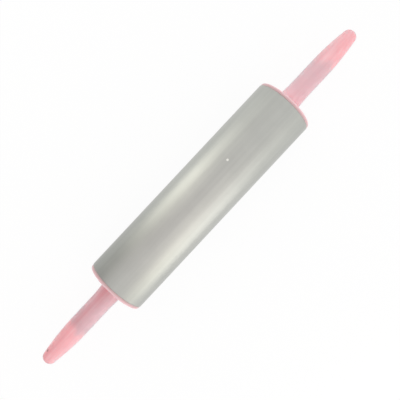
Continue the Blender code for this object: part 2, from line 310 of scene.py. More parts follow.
def new_finish(name):
    """A new material, its node tree and its shader."""
    finish = bpy.data.materials.new(name)
    finish.use_nodes = True
    return finish, finish.node_tree, finish.node_tree.nodes["Principled BSDF"]


def node(tree, kind, inputs=None, **settings):
    """A node with its settings, and its inputs set to a value or linked to another node's output."""
    made = tree.nodes.new(kind)
    for name, value in settings.items():
        setattr(made, name, value)
    for key, value in (inputs or {}).items():
        if isinstance(value, bpy.types.NodeSocket):
            tree.links.new(value, made.inputs[key])
        else:
            made.inputs[key].default_value = value
    return made


def maths(tree, operation, first, second=0.0):
    return node(tree, "ShaderNodeMath", {0: first, 1: second}, operation=operation).outputs[0]


def times(tree, first, second):
    return maths(tree, "MULTIPLY", first, second)


def plus(tree, first, second):
    return maths(tree, "ADD", first, second)


def larger(tree, first, second):
    return maths(tree, "MAXIMUM", first, second)


def mixed(tree, share, first, second):
    """A colour that goes from first to second as share goes from 0 to 1. The colours of this node
    are its inputs 6 and 7 and its output 2."""
    inputs = {0: share, 6: as_colour(first), 7: as_colour(second)}
    return node(tree, "ShaderNodeMix", inputs, data_type="RGBA").outputs[2]


def as_colour(value):
    """A node's output as it is, and three numbers with an opacity of 1."""
    return value if isinstance(value, bpy.types.NodeSocket) else (*value, 1.0)


def between(tree, value, start, end, result_start=0.0, result_end=1.0):
    """A smooth step from result_start, at start and before it, to result_end, at end and past it."""
    inputs = {0: value, 1: start, 2: end, 3: result_start, 4: result_end}
    return node(tree, "ShaderNodeMapRange", inputs, interpolation_type="SMOOTHSTEP").outputs[0]


def place(tree):
    """Where a point of the surface lies, in metres, as the piece was made."""
    return node(tree, "ShaderNodeTexCoord").outputs["Object"]


def noise(tree, scale, detail=PLAIN_DETAIL, roughness=0.5, shift=(0.0, 0.0, 0.0)):
    """Noise from 0 to 1 over the surface, with one scale for X, Y and Z or one for each, per metre."""
    per_axis = scale if isinstance(scale, tuple) else (scale, scale, scale)
    inputs = {"Vector": place(tree), "Scale": per_axis, "Location": shift}
    stretched = node(tree, "ShaderNodeMapping", inputs).outputs[0]
    inputs = {"Vector": stretched, "Scale": 1.0, "Detail": detail, "Roughness": roughness}
    return node(tree, "ShaderNodeTexNoise", inputs).outputs[0]


def along_axle(tree):
    """The distance from the middle of the pin, the same at both ends."""
    spot = node(tree, "ShaderNodeSeparateXYZ", {0: place(tree)})
    return maths(tree, "ABSOLUTE", spot.outputs[0])


def near(tree, spot, radius, core_share):
    """1 within the core of a round mark about a spot, and 0 beyond its radius."""
    inputs = {0: place(tree), 1: spot}
    distance = node(tree, "ShaderNodeVectorMath", inputs, operation="DISTANCE").outputs[1]
    return between(tree, distance, radius * core_share, radius, 1.0, 0.0)


def set_colour(tree, shader, tone):
    tree.links.new(tone, shader.inputs["Base Color"])


def set_roughness(tree, shader, pattern, pattern_range, roughness_range):
    """Roughness that follows a pattern from the start to the end of both ranges."""
    rough = between(tree, pattern, *pattern_range, *roughness_range)
    tree.links.new(rough, shader.inputs["Roughness"])


def set_values(shader, values):
    for name, value in values.items():
        shader.inputs[name].default_value = value


def set_bump(tree, shader, height, strength, depth):
    inputs = {"Height": height, "Strength": strength, "Distance": depth}
    tree.links.new(node(tree, "ShaderNodeBump", inputs).outputs[0], shader.inputs["Normal"])


# Finishes: colours in linear light, pattern scales per metre, along X, Y and Z where there are three

WHITE = (1.0, 1.0, 1.0)
# The parts of a noise over which most tones and roughnesses change
MOST_NOISE = (0.2, 0.8)
MIDDLE_NOISE = (0.3, 0.7)

# The barrel's two tones follow its clouding, and its fine and coarse lines are a little brighter
BARREL_TONES = ((0.455, 0.463, 0.436), (0.480, 0.488, 0.459))
BARREL_CLOUDS = 34.0
BARREL_LINE_TONE = (0.515, 0.523, 0.493)
BARREL_LINE_SHARE = 0.25
FINE_LINES = (40, 5200, 5200)
FINE_LINE_GRAIN = 0.6
COARSE_LINES = (9, 700, 700)
FINE_SHARE = 0.65
COARSE_SHARE = 0.35
BRIGHT_LINES = (0.35, 0.65)
LINE_HEIGHT = 0.006 * MM
LINE_STRENGTH = 0.25
# Broader streaks, by so much brighter or darker: partly drawing marks of the steel and partly painted
# reflections
STREAKS_AND_REFLECTIONS = (8, 260, 260)
STREAKS_AND_REFLECTIONS_SHIFT = (23.68, 38.53, 19.58)
STREAKS_AND_REFLECTIONS_SHARE = 0.032
BARREL_ROUGHNESS = (0.31, 0.39)
CLOUD_ROUGHNESS = 0.03
# One small pale nick
NICK_PLACE = (41.8 * MM, 4.3 * MM, 31.46 * MM)
NICK_RADIUS = 1.5 * MM
NICK_CORE_SHARE = 0.55
NICK_TONE = (0.84, 0.84, 0.80)
NICK_ROUGHNESS = 0.3
NICK_DEPTH_SHARE = 2.0
BARREL_SHADER = {"Metallic": 1.0, "Anisotropic": 0.45}


def satin_barrel_steel():
    """Steel drawn along the tube: fine lengthwise lines, a few broader streaks that are partly painted
    reflections, clouding, one nick.
    """
    finish, tree, shader = new_finish("satin_barrel_steel")
    clouds = noise(tree, BARREL_CLOUDS, FINE_DETAIL)
    fine = noise(tree, FINE_LINES, FINE_DETAIL, FINE_LINE_GRAIN)
    coarse = noise(tree, COARSE_LINES)
    lines = plus(tree, times(tree, fine, FINE_SHARE), times(tree, coarse, COARSE_SHARE))
    tone = mixed(tree, between(tree, clouds, *MIDDLE_NOISE), *BARREL_TONES)
    bright_lines = times(tree, between(tree, lines, *BRIGHT_LINES), BARREL_LINE_SHARE)
    tone = mixed(tree, bright_lines, tone, BARREL_LINE_TONE)
    # Streaks partly drawn into the steel and partly painted reflections
    streaks = noise(tree, STREAKS_AND_REFLECTIONS, shift=STREAKS_AND_REFLECTIONS_SHIFT)
    brightness = between(tree, streaks, *MOST_NOISE, 1 + STREAKS_AND_REFLECTIONS_SHARE, 1 - STREAKS_AND_REFLECTIONS_SHARE)
    inputs = {0: tone, "Scale": brightness}
    tone = node(tree, "ShaderNodeVectorMath", inputs, operation="SCALE").outputs[0]
    nick = near(tree, NICK_PLACE, NICK_RADIUS, NICK_CORE_SHARE)
    set_colour(tree, shader, mixed(tree, nick, tone, NICK_TONE))
    rough = between(tree, lines, *MOST_NOISE, *BARREL_ROUGHNESS)
    rough = plus(tree, rough, times(tree, clouds, CLOUD_ROUGHNESS))
    rough = plus(tree, rough, times(tree, nick, NICK_ROUGHNESS))
    tree.links.new(rough, shader.inputs["Roughness"])
    set_values(shader, BARREL_SHADER)
    tangent = node(tree, "ShaderNodeTangent", direction_type="UV_MAP", uv_map="surface")
    tree.links.new(tangent.outputs[0], shader.inputs["Tangent"])
    height = maths(tree, "SUBTRACT", lines, times(tree, nick, NICK_DEPTH_SHARE))
    set_bump(tree, shader, height, LINE_STRENGTH, LINE_HEIGHT)
    return finish


# Painted shade: the cap is darker and browner inboard of its outer edge, next to the tube
CAP_SHADED_TONE = (0.62, 0.41, 0.42)
CAP_CLOUD_TONE = (0.72, 0.45, 0.47)
CAP_CLOUD_SHARE = 0.25
CAP_CLOUDS = 90.0
CAP_ROUGHNESS = (0.29, 0.36)
# Painted highlight: paler outward at the rounded outer edge, from the first to the second of these
# distances inside the cap's face
CAP_LIT_EDGE_TONE = (0.90, 0.60, 0.63)
CAP_EDGE_START = 2.4 * MM
CAP_EDGE_END = 0.8 * MM
CAP_GRAIN = 2600.0
CAP_GRAIN_STRENGTH = 0.12
GRAIN_HEIGHT = 0.01 * MM
CAP_SHADER = {
    "Subsurface Weight": 0.15,
    "Subsurface Radius": (1.0, 0.5, 0.45),
    "Subsurface Scale": 1.5 * MM,
}


def cap_plastic():
    """Pink plastic with a fine moulded grain, darker next to the tube with painted shade and paler at the
    thin outer edge with a painted highlight.
    """
    finish, tree, shader = new_finish("cap_plastic")
    clouds = noise(tree, CAP_CLOUDS, FINE_DETAIL)
    # Painted shade inboard, and a painted highlight at the outer edge
    edge = between(tree, along_axle(tree), CAP_FACE - CAP_EDGE_START, CAP_FACE - CAP_EDGE_END)
    tone = mixed(tree, edge, CAP_SHADED_TONE, CAP_LIT_EDGE_TONE)
    clouding = times(tree, between(tree, clouds, *MIDDLE_NOISE), CAP_CLOUD_SHARE)
    set_colour(tree, shader, mixed(tree, clouding, tone, CAP_CLOUD_TONE))
    set_roughness(tree, shader, clouds, MOST_NOISE, CAP_ROUGHNESS)
    set_values(shader, CAP_SHADER)
    set_bump(tree, shader, noise(tree, CAP_GRAIN), CAP_GRAIN_STRENGTH, GRAIN_HEIGHT)
    return finish


# Left and right are told apart over this distance from the middle of the pin
END_BLEND = 10.0 * MM
# The handle is more solid near its base: by this share up to the first distance, not past the second
FOOT_START = 3.0 * MM
FOOT_END = 20.0 * MM
FOOT_SHARE = 0.45
# It turns solid round the axle's end, raggedly, and sooner on the left handle
CLEAR_TONE = (0.90, 0.58, 0.63)
SOLID_TONE = (0.95, 0.46, 0.49)
SOLID_BEFORE = 3.0 * MM
SOLID_AFTER = 7.0 * MM
RAGGED_PATTERN = (20, 130, 130)
RAGGED_REACH = 12.0 * MM
LEFT_SOONER = 2.5 * MM
# The share of light that passes before and past there, and how much less of it on the right handle
CLEAR_SHARES = (0.32, 0.05)
RIGHT_MILKY_SHARE = 0.22
# Marks of the plastic's flow, and clouds, each with the part of its noise over which it grows
FLOW_MARKS = (10, 420, 420)
DEEP_FLOW = (0.5, 0.75)
DEEP_FLOW_TONE = (0.78, 0.40, 0.45)
PALE_FLOW = (0.5, 0.25)
PALE_FLOW_TONE = (0.97, 0.70, 0.73)
FLOW_SHARE = 0.5
HANDLE_CLOUDS = (45, 110, 110)
PALE_CLOUDS = (0.35, 0.7)
PALE_CLOUD_SHARE = 0.15
# Painted shade: deeper and darker on one side of the left handle, where less light falls, from place to
# place across it, and less so at its very edge
SHADED_SIDE_TONE = (0.88, 0.30, 0.33)
SHADED_SIDE_SHARE = 0.40
SHADED_SIDE = (-3.0 * MM, 7.0 * MM)
SHADED_SIDE_LIMIT = (4.0 * MM, 8.0 * MM)
SHADED_SIDE_LIMIT_SHARE = 0.15
# Painted light: paler on one side of each handle and round the right handle's foot, where more light
# falls, and less so past the axle's end
LIT_SIDE_TONE = (0.97, 0.68, 0.73)
LIT_SIDE_SHARE = 0.60
LIT_SIDE_NOSE_SHARE = 0.35 * LIT_SIDE_SHARE
LIT_LEFT_SIDE = (-2.5 * MM, -7.0 * MM)
LIT_RIGHT_SIDE = (-1.0 * MM, 5.0 * MM)
LIT_SIDE_BEFORE = 6.0 * MM
# Painted highlight: a brighter band along the right handle, between these places across it
HIGHLIGHT_GAIN = (1.045, 1.02, 1.02)
HIGHLIGHT_START = (-1.0 * MM, 3.0 * MM)
HIGHLIGHT_END = (9.0 * MM, 5.5 * MM)
# The mark of the mould's gate near the left handle's tip
GATE_PLACE = (-214.8 * MM, 6.0 * MM, 5.37 * MM)
GATE_RADIUS = 2.0 * MM
GATE_CORE_SHARE = 0.35
GATE_TONE = (0.30, 0.15, 0.13)
GATE_SHARE = 0.65
HANDLE_GRAIN = 1900.0
HANDLE_GRAIN_STRENGTH = 0.1
HANDLE_ROUGHNESS = (0.285, 0.345)
HANDLE_SHADER = {
    "IOR": 1.49,
    "Sheen Weight": 0.45,
    "Sheen Roughness": 0.35,
    "Sheen Tint": (0.30, 0.85, 0.85, 1.0),
    "Subsurface Weight": 0.3,
    "Subsurface Radius": (1.0, 0.45, 0.45),
    "Subsurface Scale": 3.0 * MM,
}


def flowing_tone(tree, solid, clouds):
    """From the clear to the solid pink, with deep and pale flow marks and clouds."""
    flow = noise(tree, FLOW_MARKS, FINE_DETAIL)
    deep_flow = times(tree, between(tree, flow, *DEEP_FLOW), FLOW_SHARE)
    pale_flow = times(tree, between(tree, flow, *PALE_FLOW), FLOW_SHARE)
    pale_clouds = times(tree, between(tree, clouds, *PALE_CLOUDS), PALE_CLOUD_SHARE)
    tone = mixed(tree, solid, CLEAR_TONE, SOLID_TONE)
    tone = mixed(tree, deep_flow, tone, DEEP_FLOW_TONE)
    tone = mixed(tree, pale_flow, tone, PALE_FLOW_TONE)
    return mixed(tree, pale_clouds, tone, PALE_FLOW_TONE)


def painted_shade_side(tree, left, across):
    """How much painted shade deepens the left handle on one side, short of its very edge."""
    deep = times(tree, left, between(tree, across, *SHADED_SIDE))
    deep = times(tree, deep, between(tree, across, *SHADED_SIDE_LIMIT, 1.0, SHADED_SIDE_LIMIT_SHARE))
    return times(tree, deep, SHADED_SIDE_SHARE)


def painted_light_side(tree, left, right, across, foot, ragged):
    """How much painted light makes each handle paler on one side, and the right one round its foot, less
    so towards its nose.
    """
    lit_left = times(tree, left, between(tree, across, *LIT_LEFT_SIDE))
    lit_right = times(tree, right, larger(tree, between(tree, across, *LIT_RIGHT_SIDE), foot))
    fading_span = AXLE_END - LIT_SIDE_BEFORE, AXLE_END + SOLID_AFTER
    fading = between(tree, ragged, *fading_span, LIT_SIDE_SHARE, LIT_SIDE_NOSE_SHARE)
    return times(tree, larger(tree, lit_left, lit_right), fading)


def painted_highlight_band(tree, right, across):
    """The gain in brightness of the painted highlight along the right handle, as a colour."""
    bright = times(tree, between(tree, across, *HIGHLIGHT_START), between(tree, across, *HIGHLIGHT_END))
    return mixed(tree, times(tree, right, bright), WHITE, HIGHLIGHT_GAIN)


def handle_plastic():
    """Milky pink plastic that lets the axle show, deeper and less clear beyond the axle's end, with
    painted shade, painted light and a painted highlight on its sides.
    """
    finish, tree, shader = new_finish("handle_plastic")
    spot = node(tree, "ShaderNodeSeparateXYZ", {0: place(tree)})
    left = between(tree, spot.outputs[0], 0.0, -END_BLEND)
    right = between(tree, spot.outputs[0], 0.0, END_BLEND)
    across = spot.outputs[1]
    along = along_axle(tree)
    foot = between(tree, along, HANDLE_BASE + FOOT_START, HANDLE_BASE + FOOT_END, FOOT_SHARE, 0.0)
    drift = plus(tree, times(tree, noise(tree, RAGGED_PATTERN), 2 * RAGGED_REACH), -RAGGED_REACH)
    drift = plus(tree, drift, times(tree, left, LEFT_SOONER))
    ragged = plus(tree, along, drift)
    solid_span = AXLE_END - SOLID_BEFORE, AXLE_END + SOLID_AFTER
    solid = larger(tree, between(tree, ragged, *solid_span), foot)
    clouds = noise(tree, HANDLE_CLOUDS, FINE_DETAIL)
    tone = flowing_tone(tree, solid, clouds)
    # Painted shade on one side of the left handle, painted light on one side of each handle and a painted
    # highlight along the right one
    tone = mixed(tree, painted_shade_side(tree, left, across), tone, SHADED_SIDE_TONE)
    tone = mixed(tree, painted_light_side(tree, left, right, across, foot, ragged), tone, LIT_SIDE_TONE)
    inputs = {0: tone, 1: painted_highlight_band(tree, right, across)}
    tone = node(tree, "ShaderNodeVectorMath", inputs, operation="MULTIPLY").outputs[0]
    gate = times(tree, near(tree, GATE_PLACE, GATE_RADIUS, GATE_CORE_SHARE), GATE_SHARE)
    set_colour(tree, shader, mixed(tree, gate, tone, GATE_TONE))
    set_roughness(tree, shader, clouds, MOST_NOISE, HANDLE_ROUGHNESS)
    milky = times(tree, right, plus(tree, foot, RIGHT_MILKY_SHARE))
    clear = between(tree, ragged, *solid_span, *CLEAR_SHARES)
    clear = times(tree, clear, maths(tree, "SUBTRACT", 1.0, milky))
    tree.links.new(clear, shader.inputs["Transmission Weight"])
    set_values(shader, HANDLE_SHADER)
    set_bump(tree, shader, noise(tree, HANDLE_GRAIN), HANDLE_GRAIN_STRENGTH, GRAIN_HEIGHT)
    return finish


# Nylon and rubber: the pattern of the tones comes first, then that of the roughness
NYLON_TONES = ((0.74, 0.73, 0.68), (0.84, 0.83, 0.80))
NYLON_PATTERNS = (300.0, 500.0)
NYLON_ROUGHNESS = (0.4, 0.5)
RUBBER_TONES = ((0.03, 0.03, 0.03), (0.07, 0.07, 0.072))
RUBBER_PATTERNS = (700.0, 900.0)
RUBBER_ROUGHNESS = (0.6, 0.75)


def plain_finish(name, tones, patterns, roughness_range):
    """Two tones and a roughness that each follow a noise."""
    finish, tree, shader = new_finish(name)
    set_colour(tree, shader, mixed(tree, noise(tree, patterns[0], FINE_DETAIL), *tones))
    set_roughness(tree, shader, noise(tree, patterns[1]), MOST_NOISE, roughness_range)
    return finish


def bush_nylon():
    """Off-white nylon, faintly clouded."""
    return plain_finish("bush_nylon", NYLON_TONES, NYLON_PATTERNS, NYLON_ROUGHNESS)


def seal_rubber():
    """Black rubber with a dusty bloom."""
    return plain_finish("seal_rubber", RUBBER_TONES, RUBBER_PATTERNS, RUBBER_ROUGHNESS)


# Steel: plain on the axle, washers and inserts, dark and springy on the retaining rings
PLAIN_STEEL_TONES = ((0.50, 0.50, 0.49), (0.60, 0.60, 0.59))
PLAIN_STEEL_ROUGHNESS = (0.29, 0.38)
SPRING_STEEL_TONES = ((0.13, 0.13, 0.14), (0.19, 0.19, 0.20))
SPRING_STEEL_ROUGHNESS = (0.34, 0.46)
TURNING_MARKS = (4000, 160, 160)
TURNING_RANGE = (0.25, 0.75)
TURNING_HEIGHT = 0.004 * MM
TURNING_STRENGTH = 0.2


def drawn_steel(name, tones, roughness_range):
    """Turned or drawn steel with fine marks round it."""
    finish, tree, shader = new_finish(name)
    marks = noise(tree, TURNING_MARKS, FINE_DETAIL)
    set_colour(tree, shader, mixed(tree, marks, *tones))
    set_roughness(tree, shader, marks, TURNING_RANGE, roughness_range)
    set_values(shader, {"Metallic": 1.0})
    set_bump(tree, shader, marks, TURNING_STRENGTH, TURNING_HEIGHT)
    return finish


# Pieces

def make_barrel(finish):
    """A tube: a long rectangle with small round corners, turned."""
    corners = [
        (BARREL_END, BARREL_RADIUS, BARREL_EDGE),
        (-BARREL_END, BARREL_RADIUS, BARREL_EDGE),
        (-BARREL_END, BARREL_BORE, SMALL_EDGE),
        (BARREL_END, BARREL_BORE, SMALL_EDGE),
    ]
    shell = turned(split(rounded(corners), BARREL_STEP), BARREL_SEGMENTS)
    make_piece("barrel", [shell], finish, "roller", "satin_steel", "barrel_tube")


def cap_corners():
    """The cap's section, boss first, then dish, rim, skirt with the seal's groove, web and hub. The
    groove is sized from the seal's box, so it is 0.2 mm shallower and narrower than the solid's."""
    counterbore = BUSH_FLANGE_RADIUS + SEAT_GAP
    boss = counterbore + CAP_BOSS_WIDTH
    ring = CAP_RIM_RADIUS - CAP_RIM_ROUND - CAP_FACE_RING
    dish = CAP_FACE - CAP_DISH_DEPTH
    floor = SEAL_RADIUS - (SEAL_OUTER - SEAL_INNER) - SEAT_GAP
    hub = CAP_BORE + CAP_HUB_WALL
    hub_end = CAP_SEAT - CAP_HUB_LENGTH
    inner = CAP_SKIRT_RADIUS - CAP_SKIRT_WALL
    bush_seat = CAP_FACE - BUSH_FLANGE - SEAT_GAP
    return [
        (bush_seat, CAP_BORE, SMALL_EDGE),
        (bush_seat, counterbore, SMALL_EDGE),
        (CAP_FACE, counterbore, SMALL_EDGE),
        (CAP_FACE, boss, SOFT_EDGE),
        (dish, boss + CAP_DISH_DEPTH, SOFT_EDGE),
        (dish, ring - CAP_DISH_DEPTH, SOFT_EDGE),
        (CAP_FACE, ring, SOFT_EDGE),
        (CAP_FACE, CAP_RIM_RADIUS, CAP_RIM_ROUND),
        (BARREL_END + LIP_GAP, CAP_RIM_RADIUS, SOFT_EDGE),
        (BARREL_END + LIP_GAP, CAP_SKIRT_RADIUS, SMALL_EDGE),
        (SEAL_OUTER + SEAL_SIDE_GAP, CAP_SKIRT_RADIUS, SMALL_EDGE),
        (SEAL_OUTER + SEAL_SIDE_GAP, floor, SMALL_EDGE),
        (SEAL_INNER - SEAL_SIDE_GAP, floor, SMALL_EDGE),
        (SEAL_INNER - SEAL_SIDE_GAP, CAP_SKIRT_RADIUS, SMALL_EDGE),
        (CAP_SKIRT_END, CAP_SKIRT_RADIUS, ROUND_EDGE),
        (CAP_SKIRT_END, inner, SOFT_EDGE),
        (CAP_SEAT, inner, SOFT_EDGE),
        (CAP_SEAT, hub, SOFT_EDGE),
        (hub_end, hub, SOFT_EDGE),
        (hub_end, CAP_BORE, SMALL_EDGE),
    ]


def rib(turn, side):
    """A rib's section, a rectangle with its free edge rounded, carried from the middle of the hub's
    wall to the middle of the skirt's."""
    inner = CAP_BORE + CAP_HUB_WALL / 2
    outer = CAP_SKIRT_RADIUS - CAP_SKIRT_WALL / 2
    half = CAP_RIB_THICKNESS / 2
    free = CAP_SEAT - CAP_RIB_DEPTH
    corners = [
        (CAP_SEAT, half, 0),
        (free, half, SOFT_EDGE),
        (free, -half, SOFT_EDGE),
        (CAP_SEAT, -half, 0),
    ]
    section = rounded(corners)
    reach = np.linspace(inner, outer, RIB_SECTIONS)[:, None]
    along, across, outward = np.broadcast_arrays(section[None, :, 0], section[None, :, 1], reach)
    cos, sin = math.cos(turn), math.sin(turn)
    rings = np.stack([along, outward * cos - across * sin, outward * sin + across * cos], axis=2)
    return carried(rings, side)


def make_cap(finish, name, side):
    """The cap's section, turned, and its ribs at equal angles round the hub. Each rib is a closed
    shell of its own whose ends lie inside the walls, not joined to them as in the solid."""
    ribs = [rib(i * 2 * math.pi / CAP_RIB_COUNT, side) for i in range(CAP_RIB_COUNT)]
    shell = turned(rounded(cap_corners()), CAP_SEGMENTS, side)
    make_piece("cap_" + name, [shell, *ribs], finish, "roller", "cap_plastic", "end_cap_" + name)


def make_seal(finish, name, side):
    """A ring whose section is a circle, as wide along the pin as the solid's six-sided section,
    which is 0.2 mm thicker across it."""
    radius = (SEAL_OUTER - SEAL_INNER) / 2
    turn = -2 * math.pi * np.arange(SEAL_SIDES) / SEAL_SIDES
    along = (SEAL_OUTER + SEAL_INNER) / 2 - radius * np.sin(turn)
    height = SEAL_RADIUS - radius + radius * np.cos(turn)
    outline = np.stack([along, height], axis=1)
    shell = turned(outline[::-1], SEAL_SEGMENTS, side)
    make_piece("seal_" + name, [shell], finish, "roller", "seal_rubber", "cap_seal_" + name)


def make_bush(finish, name, side):
    """A sleeve with a flange at its outboard end: an L-shaped section, turned."""
    corners = [
        (BUSH_FACE, BUSH_FLANGE_RADIUS, SOFT_EDGE),
        (BUSH_FACE - BUSH_FLANGE, BUSH_FLANGE_RADIUS, SMALL_EDGE),
        (BUSH_FACE - BUSH_FLANGE, BUSH_RADIUS, SMALL_EDGE),
        (BUSH_END, BUSH_RADIUS, SOFT_EDGE),
        (BUSH_END, AXLE_BORE, SMALL_EDGE),
        (BUSH_FACE, AXLE_BORE, SOFT_EDGE),
    ]
    shell = turned(rounded(corners), SMALL_SEGMENTS, side)
    make_piece("bush_" + name, [shell], finish, "roller", "bush_nylon", "axle_bush_" + name)


def thread_relief(along, angle, radius):
    """A rolled thread near each end: the radius falls by the thread's depth times how far the point
    is from the crest of a helix that climbs one pitch a turn."""
    turn = np.abs(along) / THREAD_PITCH - np.sign(along) * angle / (2 * math.pi)
    valley = 1 - np.abs(2 * (turn - np.floor(turn)) - 1)
    fade = np.clip((np.abs(along) - THREAD_START) / THREAD_PITCH, 0, 1)
    fade = fade * np.clip((AXLE_END - np.abs(along)) / (THREAD_PITCH / 2), 0, 1)
    return -THREAD_DEPTH * valley * fade * (radius > AXLE_RADIUS / 2)


def make_axle(finish):
    """A rod with rounded ends and a ring groove near each end, turned, with its threads."""
    half = [
        (AXLE_END, 0, 0),
        (AXLE_END, AXLE_RADIUS, AXLE_EDGE),
        (THREAD_START, AXLE_RADIUS, 0),
        (RING_OUTER + SEAT_GAP, AXLE_RADIUS, SMALL_EDGE),
        (RING_OUTER + SEAT_GAP, AXLE_GROOVE_RADIUS, SMALL_EDGE),
        (RING_INNER - SEAT_GAP, AXLE_GROOVE_RADIUS, SMALL_EDGE),
        (RING_INNER - SEAT_GAP, AXLE_RADIUS, SMALL_EDGE),
    ]
    corners = half + [(-along, radius, size) for along, radius, size in reversed(half)]
    outline = split(rounded(corners, closed=False), THREAD_STEP, closed=False, beyond=THREAD_START)
    shell = turned(outline, AXLE_SEGMENTS, closed=False, relief=thread_relief)
    make_piece("axle", [shell], finish, "spindle", "plain_steel", "axle_rod")


def make_washer(finish, name, node_name, ends, side):
    """A flat ring between its two faces: a rectangle, turned."""
    inner_face, outer_face, radius = ends
    corners = [
        (outer_face, radius, SMALL_EDGE),
        (inner_face, radius, SMALL_EDGE),
        (inner_face, AXLE_BORE, SMALL_EDGE),
        (outer_face, AXLE_BORE, SMALL_EDGE),
    ]
    shell = turned(rounded(corners), SMALL_SEGMENTS, side)
    make_piece(name, [shell], finish, "spindle", "plain_steel", node_name)


def make_retaining_ring(finish, name, side):
    """A rectangle with rounded corners carried round an arc that leaves the ring open."""
    inner = AXLE_GROOVE_RADIUS + SEAT_GAP
    corners = [
        (RING_OUTER, inner + RING_WIDTH, SMALL_EDGE),
        (RING_OUTER, inner, SMALL_EDGE),
        (RING_INNER, inner, SMALL_EDGE),
        (RING_INNER, inner + RING_WIDTH, SMALL_EDGE),
    ]
    section = rounded(corners)
    sweep = np.linspace(RING_OPENING / 2, 2 * math.pi - RING_OPENING / 2, RING_SECTIONS)
    angle = sweep[:, None] - side * math.pi / 2
    along, radius, angle = np.broadcast_arrays(section[None, :, 0], section[None, :, 1], angle)
    rings = np.stack([along, radius * np.cos(angle), radius * np.sin(angle)], axis=2)
    bar = carried(rings, side)
    make_piece("retainer_" + name, [bar], finish, "spindle", "spring_steel", "retaining_ring_" + name)


def make_insert(finish, name, side):
    """A sleeve with a groove round its middle, turned. Two sets of helical ridges cross on its
    outside, where the solid has flats: the radius follows the larger of two cosines of the angle
    plus and minus the lead."""
    middle = (INSERT_INNER + INSERT_OUTER) / 2
    floor = INSERT_RADIUS - INSERT_GROOVE_DEPTH
    corners = [
        (INSERT_OUTER, INSERT_RADIUS, SOFT_EDGE),
        (middle + INSERT_GROOVE_WIDTH / 2, INSERT_RADIUS, SMALL_EDGE),
        (middle + INSERT_GROOVE_WIDTH / 2, floor, SMALL_EDGE),
        (middle - INSERT_GROOVE_WIDTH / 2, floor, SMALL_EDGE),
        (middle - INSERT_GROOVE_WIDTH / 2, INSERT_RADIUS, SMALL_EDGE),
        (INSERT_INNER, INSERT_RADIUS, SOFT_EDGE),
        (INSERT_INNER, AXLE_BORE, SMALL_EDGE),
        (INSERT_OUTER, AXLE_BORE, SMALL_EDGE),
    ]

    def knurl(along, angle, radius):
        lead = along / INSERT_RADIUS
        ridges = np.maximum(np.cos(KNURL_COUNT * (angle + lead)), np.cos(KNURL_COUNT * (angle - lead)))
        return (ridges - 1) * KNURL_DEPTH / 2 * (radius > floor + SMALL_EDGE)

    shell = turned(split(rounded(corners), KNURL_STEP), INSERT_SEGMENTS, side, relief=knurl)
    make_piece("insert_" + name, [shell], finish, "spindle", "plain_steel", "handle_insert_" + name)


def tapered(along):
    """The handle's radius from the start of its taper on, a power curve that runs on through the nose."""
    share = np.maximum(along - TAPER_START, 0) / TAPER_LENGTH
    return HANDLE_RADIUS - TAPER_DROP * share**TAPER_POWER


def handle_outline():
    """Nose, taper, grip and collar, then the bore with the pocket for the insert. The nose is the
    taper times a quarter of a superellipse, and the collar's foot is half a cosine wave."""
    angle = np.linspace(0, math.pi / 2, NOSE_STEPS + 1)[:-1]
    along = NOSE_START + NOSE_LENGTH * np.cos(angle) ** (2 / NOSE_POWER)
    nose = np.stack([along, tapered(along) * np.sin(angle) ** (2 / NOSE_POWER)], axis=1)
    along = np.linspace(NOSE_START, TAPER_START, TAPER_STEPS + 1)[:-1]
    taper = np.stack([along, tapered(along)], axis=1)
    foot = HANDLE_BASE + COLLAR_LENGTH
    along = np.linspace(TAPER_START, foot + COLLAR_BLEND, GRIP_STEPS + 1)[:-1]
    grip = np.stack([along, np.full(GRIP_STEPS, HANDLE_RADIUS)], axis=1)
    share = np.linspace(0, 1, COLLAR_STEPS + 1)
    along = foot + COLLAR_BLEND * (1 - share)
    radius = HANDLE_RADIUS + (COLLAR_RADIUS - HANDLE_RADIUS) * (1 - np.cos(math.pi * share)) / 2
    blend = np.stack([along, radius], axis=1)
    corners = [
        (foot, COLLAR_RADIUS, 0),
        (HANDLE_BASE, COLLAR_RADIUS, ROUND_EDGE),
        (HANDLE_BASE, AXLE_BORE, SOFT_EDGE),
        (INSERT_INNER - SEAT_GAP, AXLE_BORE, SMALL_EDGE),
        (INSERT_INNER - SEAT_GAP, POCKET_RADIUS, SMALL_EDGE),
        (AXLE_END + SEAT_GAP, POCKET_RADIUS, SMALL_EDGE),
        (AXLE_END + SEAT_GAP, 0, 0),
    ]
    base = rounded(corners, closed=False)
    return np.concatenate([nose, taper, grip, blend, base[1:]])


def seam_relief(along, angle, radius):
    """The mould's parting line: a low ridge along the handle on its two sides, whose height falls
    off as a bell curve of the distance round the handle, and to nothing along the nose. It is only
    outside, beyond the radius of the insert's pocket."""
    apart = np.abs(np.angle(np.exp(1j * (2 * (angle - SEAM_ANGLE))))) / 2
    ridge = SEAM_HEIGHT * np.exp(-((apart * radius / SEAM_WIDTH) ** 2))
    outside = radius > POCKET_RADIUS + SEAT_GAP
    return ridge * outside * np.clip((HANDLE_TIP - along) / NOSE_LENGTH, 0, 1)


def make_handle(finish, name, side):
    """The handle's outline, turned, with its parting line."""
    shell = turned(handle_outline(), HANDLE_SEGMENTS, side, closed=False, relief=seam_relief)
    make_piece("grip_" + name, [shell], finish, "spindle", "handle_plastic", "handle_" + name)


# Floor and light

FLOOR_SIZE = 6.0
FLOOR_TONE = (0.95, 0.95, 0.95)
# What the eye, gloss and clear plastic see of the floor: white, by this share beside the lit paper
FLOOR_GLOW = 0.92
# Gloss sees one corner of the floor dimmer, a painted shade: it grows over these places along and across
# the pin
FLOOR_DIM_TONE = (0.68, 0.68, 0.68)
FLOOR_DIM_ALONG = (20.0 * MM, -180.0 * MM)
FLOOR_DIM_ACROSS = (36.0 * MM, 84.0 * MM)

